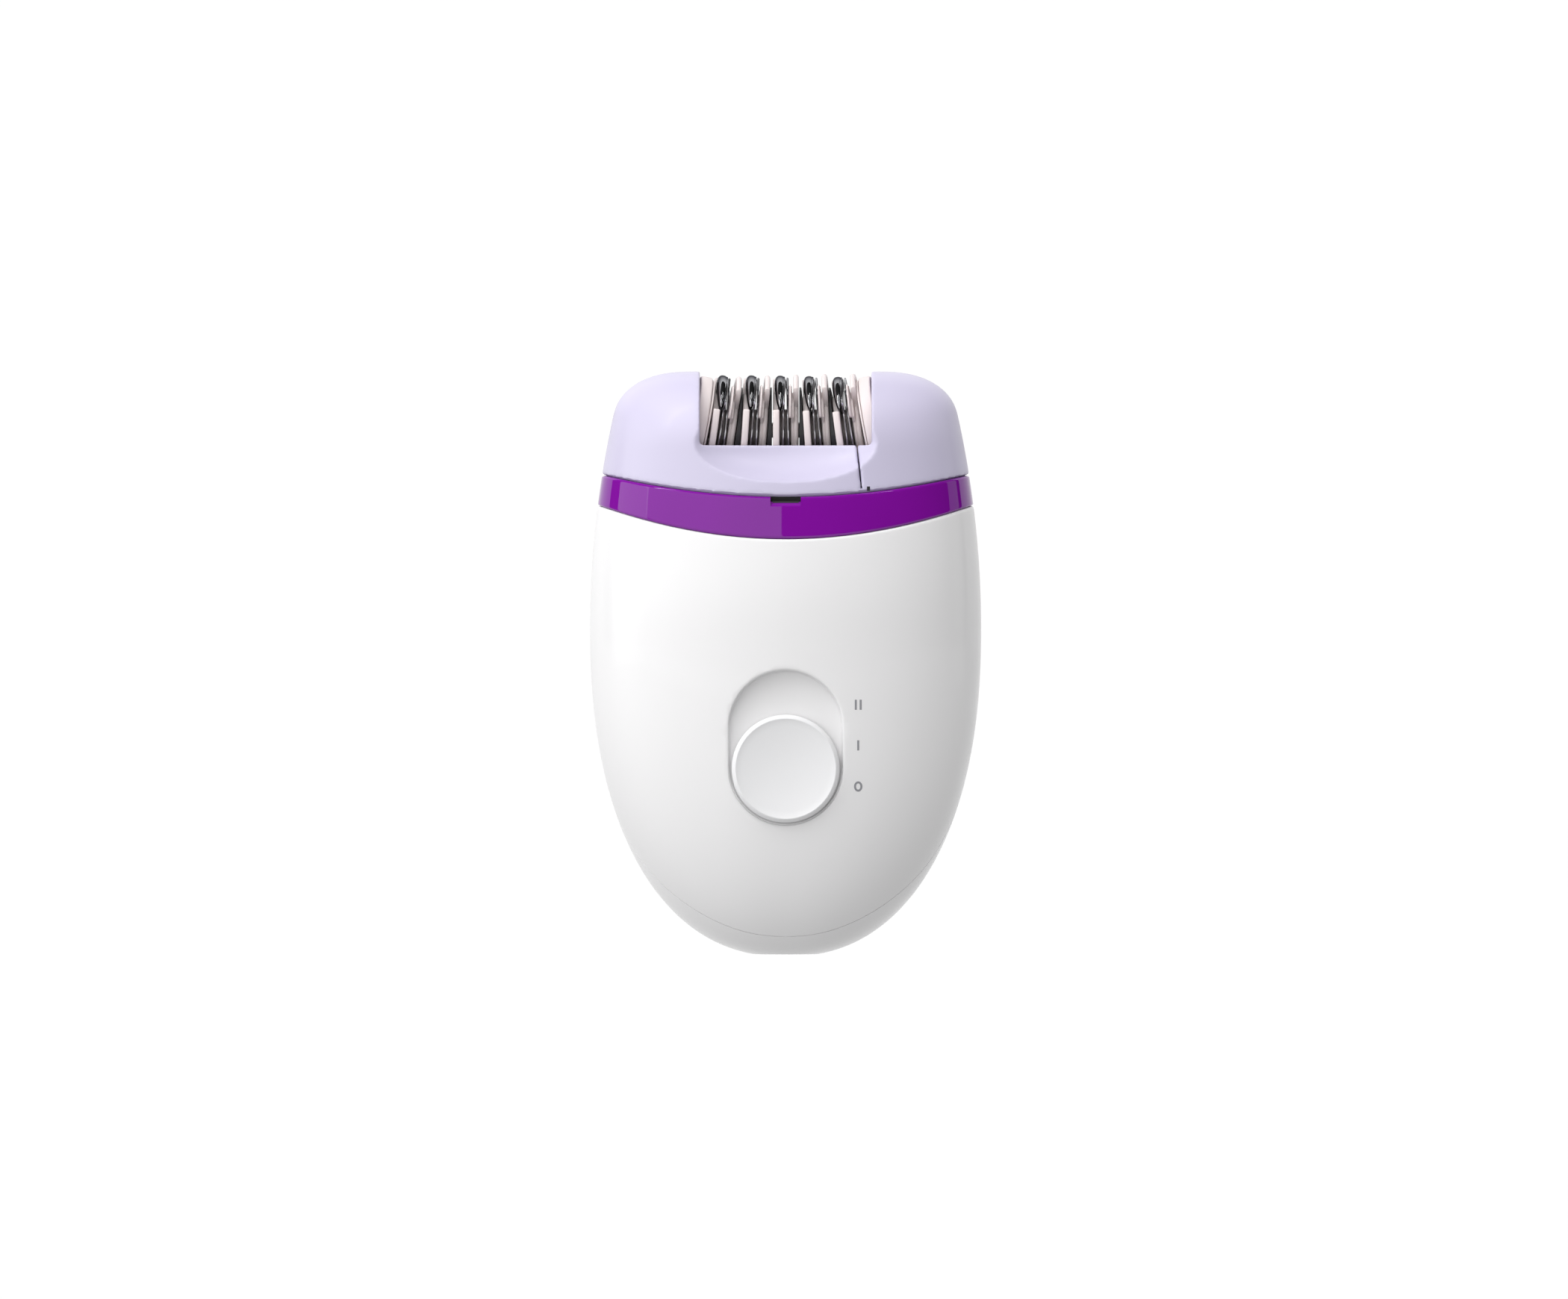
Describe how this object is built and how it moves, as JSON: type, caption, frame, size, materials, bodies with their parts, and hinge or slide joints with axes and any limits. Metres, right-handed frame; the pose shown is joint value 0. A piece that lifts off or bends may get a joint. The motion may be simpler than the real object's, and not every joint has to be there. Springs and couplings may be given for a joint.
{
  "type": "epilator",
  "caption": "Corded handheld epilator: rounded white handle with slide switch, purple collar, lift-off lilac head and a fanned drum of steel tweezer discs.",
  "frame": {"origin": "middle of the bounding box at the flat base of the handle", "axes": "+Z along the handle towards the head; -Y is the front with the slide switch; +X to the right seen from the front"},
  "size_m": [0.0728, 0.043, 0.1083],
  "materials": {
    "white_shell": "gloss white",
    "purple_collar": "high gloss purple",
    "lilac_head": "satin lilac",
    "cream_discs": "satin cream",
    "switch_white": "satin white",
    "chassis_grey": "moulded grey",
    "gear_nylon": "natural nylon",
    "tweezer_steel": "polished",
    "plated_steel": "zinc plated",
    "brass_parts": "bright",
    "iron_core": "lacquered",
    "black_parts": "moulded black",
    "board": "solder mask green",
    "red_lead": "insulation",
    "black_lead": "insulation"
  },
  "bodies": {
    "handle": {"front_shell": "white_shell", "rear_shell": "white_shell", "collar_ring": "purple_collar", "head_latch": "black_parts", "inner_chassis": "chassis_grey", "motor_can": "plated_steel", "motor_end_cap": "black_parts", "motor_magnet": "iron_core", "circuit_board": "board", "capacitor": "black_parts", "switch_housing": "black_parts", "socket_block": "black_parts", "socket_pin_left": "brass_parts", "socket_pin_right": "brass_parts", "motor_wire_left": "red_lead", "motor_wire_right": "black_lead", "socket_wire_left": "red_lead", "socket_wire_right": "black_lead", "shell_screw_1": "plated_steel", "shell_screw_2": "plated_steel", "shell_screw_3": "plated_steel", "shell_screw_4": "plated_steel", "compound_axle": "plated_steel", "idler_axle": "plated_steel"},
    "rotor": {"rotor_core": "iron_core", "commutator": "brass_parts", "motor_shaft": "plated_steel", "motor_pinion": "brass_parts"},
    "compound": {"compound_gear": "gear_nylon"},
    "idler": {"idler_gear": "gear_nylon"},
    "switch": {"slide_button": "switch_white", "switch_lever": "black_parts"},
    "head": {"head_frame": "lilac_head", "head_side_cover": "lilac_head", "head_base": "chassis_grey", "drum_shaft": "plated_steel", "head_screw_1": "plated_steel", "head_screw_2": "plated_steel", "drum_spacer_1": "black_parts", "drum_spacer_2": "black_parts", "drum_spacer_3": "black_parts", "drum_spacer_4": "black_parts"},
    "drum_drive": {"drum_gear": "gear_nylon"},
    "left_end": {"end_disc_left": "cream_discs"},
    "right_end": {"end_disc_right": "cream_discs"},
    "spool_1_body": {"spool_1": "cream_discs"},
    "tweezer_left_1_body": {"tweezer_left_1": "tweezer_steel"},
    "tweezer_right_1_body": {"tweezer_right_1": "tweezer_steel"},
    "spool_2_body": {"spool_2": "cream_discs"},
    "tweezer_left_2_body": {"tweezer_left_2": "tweezer_steel"},
    "tweezer_right_2_body": {"tweezer_right_2": "tweezer_steel"},
    "spool_3_body": {"spool_3": "cream_discs"},
    "tweezer_left_3_body": {"tweezer_left_3": "tweezer_steel"},
    "tweezer_right_3_body": {"tweezer_right_3": "tweezer_steel"},
    "spool_4_body": {"spool_4": "cream_discs"},
    "tweezer_left_4_body": {"tweezer_left_4": "tweezer_steel"},
    "tweezer_right_4_body": {"tweezer_right_4": "tweezer_steel"},
    "spool_5_body": {"spool_5": "cream_discs"},
    "tweezer_left_5_body": {"tweezer_left_5": "tweezer_steel"},
    "tweezer_right_5_body": {"tweezer_right_5": "tweezer_steel"}
  },
  "joints": [
    {"name": "rotor_spin", "type": "hinge", "parent": "handle", "child": "rotor", "pos_m": [0, 0, 0.0616], "axis": [1, 0, 0], "continuous": true},
    {"name": "compound_spin", "type": "hinge", "parent": "handle", "child": "compound", "pos_m": [0.018, 0, 0.0726], "axis": [1, 0, 0], "continuous": true},
    {"name": "idler_spin", "type": "hinge", "parent": "handle", "child": "idler", "pos_m": [0.02275, 0, 0.0838], "axis": [1, 0, 0], "continuous": true},
    {"name": "switch_slide", "type": "slide", "parent": "handle", "child": "switch", "axis": [0, 0, 1], "range_m": [0, 0.0076]},
    {"name": "head_lift", "type": "slide", "parent": "handle", "child": "head", "axis": [0, 0, 1], "range_m": [0, 0.025]},
    {"name": "drum_gear_spin", "type": "hinge", "parent": "head", "child": "drum_drive", "pos_m": [0.02275, 0, 0.0974], "axis": [1, 0, 0], "continuous": true},
    {"name": "left_end_spin", "type": "hinge", "parent": "head", "child": "left_end", "pos_m": [-0.0166, 0, 0.0974], "axis": [0.9785, 0.0772, -0.1912], "continuous": true},
    {"name": "right_end_spin", "type": "hinge", "parent": "head", "child": "right_end", "pos_m": [0.0166, 0, 0.0974], "axis": [0.9785, -0.0772, 0.1912], "continuous": true},
    {"name": "spool_1_spin", "type": "hinge", "parent": "head", "child": "spool_1_body", "pos_m": [-0.012, 0, 0.0974], "axis": [0.9888, 0.056, -0.1386], "continuous": true},
    {"name": "tweezer_left_1_spin", "type": "hinge", "parent": "head", "child": "tweezer_left_1_body", "pos_m": [-0.012, 0, 0.0974], "axis": [0.9854, 0.0638, -0.1578], "continuous": true},
    {"name": "tweezer_right_1_spin", "type": "hinge", "parent": "head", "child": "tweezer_right_1_body", "pos_m": [-0.012, 0, 0.0974], "axis": [0.9917, 0.0482, -0.1194], "continuous": true},
    {"name": "spool_2_spin", "type": "hinge", "parent": "head", "child": "spool_2_body", "pos_m": [-0.006, 0, 0.0974], "axis": [0.9972, 0.0281, -0.0695], "continuous": true},
    {"name": "tweezer_left_2_spin", "type": "hinge", "parent": "head", "child": "tweezer_left_2_body", "pos_m": [-0.006, 0, 0.0974], "axis": [0.9954, 0.0359, -0.0889], "continuous": true},
    {"name": "tweezer_right_2_spin", "type": "hinge", "parent": "head", "child": "tweezer_right_2_body", "pos_m": [-0.006, 0, 0.0974], "axis": [0.9985, 0.0203, -0.0501], "continuous": true},
    {"name": "spool_3_spin", "type": "hinge", "parent": "head", "child": "spool_3_body", "pos_m": [0, 0, 0.0974], "axis": [1, 0, 0], "continuous": true},
    {"name": "tweezer_left_3_spin", "type": "hinge", "parent": "head", "child": "tweezer_left_3_body", "pos_m": [0, 0, 0.0974], "axis": [0.9998, 0.0078, -0.0194], "continuous": true},
    {"name": "tweezer_right_3_spin", "type": "hinge", "parent": "head", "child": "tweezer_right_3_body", "pos_m": [0, 0, 0.0974], "axis": [0.9998, -0.0078, 0.0194], "continuous": true},
    {"name": "spool_4_spin", "type": "hinge", "parent": "head", "child": "spool_4_body", "pos_m": [0.006, 0, 0.0974], "axis": [0.9972, -0.0281, 0.0695], "continuous": true},
    {"name": "tweezer_left_4_spin", "type": "hinge", "parent": "head", "child": "tweezer_left_4_body", "pos_m": [0.006, 0, 0.0974], "axis": [0.9985, -0.0203, 0.0501], "continuous": true},
    {"name": "tweezer_right_4_spin", "type": "hinge", "parent": "head", "child": "tweezer_right_4_body", "pos_m": [0.006, 0, 0.0974], "axis": [0.9954, -0.0359, 0.0889], "continuous": true},
    {"name": "spool_5_spin", "type": "hinge", "parent": "head", "child": "spool_5_body", "pos_m": [0.012, 0, 0.0974], "axis": [0.9888, -0.056, 0.1386], "continuous": true},
    {"name": "tweezer_left_5_spin", "type": "hinge", "parent": "head", "child": "tweezer_left_5_body", "pos_m": [0.012, 0, 0.0974], "axis": [0.9917, -0.0482, 0.1194], "continuous": true},
    {"name": "tweezer_right_5_spin", "type": "hinge", "parent": "head", "child": "tweezer_right_5_body", "pos_m": [0.012, 0, 0.0974], "axis": [0.9854, -0.0638, 0.1578], "continuous": true}
  ],
  "couplings": [
    {"joint": "compound_spin", "follows": "rotor_spin", "ratio": -0.22222},
    {"joint": "idler_spin", "follows": "rotor_spin", "ratio": 0.16667},
    {"joint": "drum_gear_spin", "follows": "rotor_spin", "ratio": -0.14815},
    {"joint": "left_end_spin", "follows": "rotor_spin", "ratio": -0.14815},
    {"joint": "right_end_spin", "follows": "rotor_spin", "ratio": -0.14815},
    {"joint": "spool_1_spin", "follows": "rotor_spin", "ratio": -0.14815},
    {"joint": "tweezer_left_1_spin", "follows": "rotor_spin", "ratio": -0.14815},
    {"joint": "tweezer_right_1_spin", "follows": "rotor_spin", "ratio": -0.14815},
    {"joint": "spool_2_spin", "follows": "rotor_spin", "ratio": -0.14815},
    {"joint": "tweezer_left_2_spin", "follows": "rotor_spin", "ratio": -0.14815},
    {"joint": "tweezer_right_2_spin", "follows": "rotor_spin", "ratio": -0.14815},
    {"joint": "spool_3_spin", "follows": "rotor_spin", "ratio": -0.14815},
    {"joint": "tweezer_left_3_spin", "follows": "rotor_spin", "ratio": -0.14815},
    {"joint": "tweezer_right_3_spin", "follows": "rotor_spin", "ratio": -0.14815},
    {"joint": "spool_4_spin", "follows": "rotor_spin", "ratio": -0.14815},
    {"joint": "tweezer_left_4_spin", "follows": "rotor_spin", "ratio": -0.14815},
    {"joint": "tweezer_right_4_spin", "follows": "rotor_spin", "ratio": -0.14815},
    {"joint": "spool_5_spin", "follows": "rotor_spin", "ratio": -0.14815},
    {"joint": "tweezer_left_5_spin", "follows": "rotor_spin", "ratio": -0.14815},
    {"joint": "tweezer_right_5_spin", "follows": "rotor_spin", "ratio": -0.14815}
  ]
}
